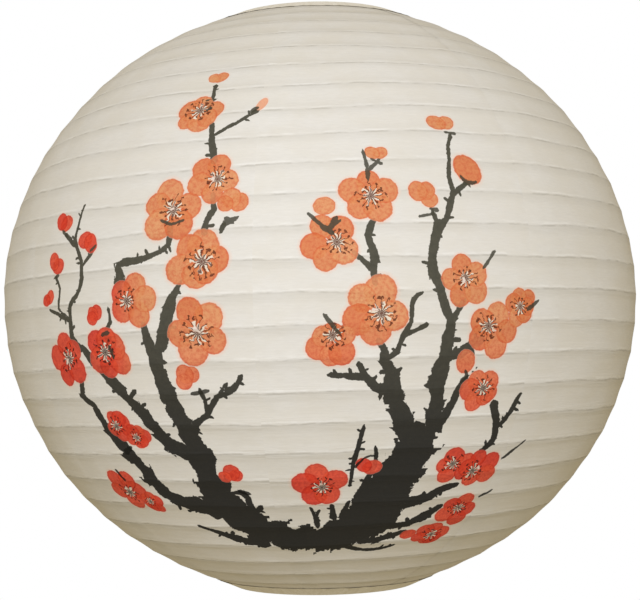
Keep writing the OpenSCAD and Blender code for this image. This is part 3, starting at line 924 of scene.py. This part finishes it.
def spiral_wire():
    """The one long wire that winds up inside the paper."""
    sides = RIB_SIDES
    climb = np.linspace(0, RIB_TURNS, RIB_TURNS * RIB_PIECES_PER_TURN + 1)
    azimuth, even = 90 + 360 * climb, RIB_FIRST + RIB_STEP * climb
    latitude = even + rib_wander(azimuth, even)
    centre = ball_points(azimuth, latitude, RIB_DEPTH)
    outward = ball_points(azimuth, latitude, 0) - centre
    outward /= np.linalg.norm(outward, axis=1, keepdims=True)
    along = np.gradient(centre, axis=0)
    along /= np.linalg.norm(along, axis=1, keepdims=True)
    side = np.cross(along, outward)
    turn = 2 * np.pi * np.arange(sides) / sides
    out, across = np.cos(turn)[None, :, None], np.sin(turn)[None, :, None]
    ring = RIB_R * (out * outward[:, None] + across * side[:, None])
    points = (centre[:, None] + ring).reshape(-1, 3)
    i = np.arange(len(climb) - 1)[:, None] * sides
    j = np.arange(sides)
    k = (j + 1) % sides
    faces = np.stack([i + j, i + k, i + sides + k, i + sides + j], -1).reshape(-1, 4)
    caps = [list(range(sides))[::-1], list(range(len(points) - sides, len(points)))]
    piece = new_mesh("spiral_wire", points, faces, caps)
    add_vectors(piece, "sheet_mm", points * MM)
    assign(piece, wire_material("rib_wire", (150, 150, 148), (112, 113, 112), 0.4, "sheet_mm"))
    fold_with_shade(piece)
    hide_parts("rib_spiral")


def dress_cad_nodes():
    """The wires and sleeves keep their CAD shapes and get their materials."""
    ring_wire = wire_material("ring_wire", (196, 198, 199), (160, 163, 165), 0.28)
    sleeve = wire_material("sleeve", (178, 178, 176), (146, 147, 146), 0.34)
    expander = wire_material("expander_wire", (202, 204, 205), (164, 167, 170), 0.24)
    looks = {
        "top_ring": ring_wire, "bottom_ring": ring_wire,
        "top_ring_sleeve": sleeve, "bottom_ring_sleeve": sleeve,
        "hanger_wire": expander, "left_leg": expander, "right_leg": expander,
    }
    for name, material in looks.items():
        assign(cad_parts[name], material)


# ---- Studio ----
def studio():
    """A pale floor that runs up into a seamless backdrop, a soft key light and a warm dim room."""
    bpy.ops.mesh.primitive_uv_sphere_add(segments=48, ring_count=24, radius=ROOM_R, location=(0, 0, 0))
    room = bpy.context.object
    room.name = "studio_room"
    for v in room.data.vertices:
        v.co.z = max(v.co.z, FLOOR_Z)
    g = Shader("studio_white")
    glow = g.node("Emission", {"Color": (1, 1, 1, 1), "Strength": 1.0})
    room.data.materials.append(g.finish(glow.outputs[0]))
    for way in ("diffuse", "glossy", "transmission", "volume_scatter", "shadow"):
        setattr(room, "visible_" + way, False)
    world = bpy.data.worlds.new("room_light")
    world.use_nodes = True
    back = world.node_tree.nodes["Background"]
    back.inputs["Color"].default_value = ROOM_LIGHT
    back.inputs["Strength"].default_value = ROOM_POWER
    bpy.context.scene.world = world
    data = bpy.data.lights.new("key", "AREA")
    data.shape = "DISK"
    data.size = KEY_SIZE
    data.energy = KEY_POWER
    data.color = KEY_COLOUR
    lamp = bpy.data.objects.new("key", data)
    bpy.context.scene.collection.objects.link(lamp)
    lamp.location = KEY_PLACE
    lamp.rotation_mode = "QUATERNION"
    lamp.rotation_quaternion = (Vector((0, 0, BALL_Z)) - Vector(KEY_PLACE)).to_track_quat("-Z", "Y")


def camera():
    """Stands in front, a little below the ball's middle, and rolls slightly."""
    data = bpy.data.cameras.new("camera")
    data.sensor_width = SENSOR
    data.lens = LENS
    eye = bpy.data.objects.new("camera", data)
    bpy.context.scene.collection.objects.link(eye)
    middle = Vector((0, 0, BALL_Z))
    eye.location = middle + Vector((0, -CAMERA_BACK * BALL_R, -CAMERA_DOWN * BALL_R))
    eye.rotation_mode = "QUATERNION"
    roll = Quaternion((0, 0, 1), np.radians(CAMERA_ROLL))
    eye.rotation_quaternion = (middle - eye.location).to_track_quat("-Z", "Y") @ roll
    bpy.context.scene.camera = eye


camera()
studio()
bpy.context.scene.view_settings.view_transform = "Standard"
spiral_wire()
printed = paper_material("printed_paper", True)
plain = paper_material("plain_paper", False)
for gore in range(GORES):
    if gore in PRINTED_GORES:
        gore_sheet(gore, printed, "printed_paper")
    else:
        gore_sheet(gore, plain, "plain_paper")
HEM_PAPER = hem_material()
hems()
dress_cad_nodes()
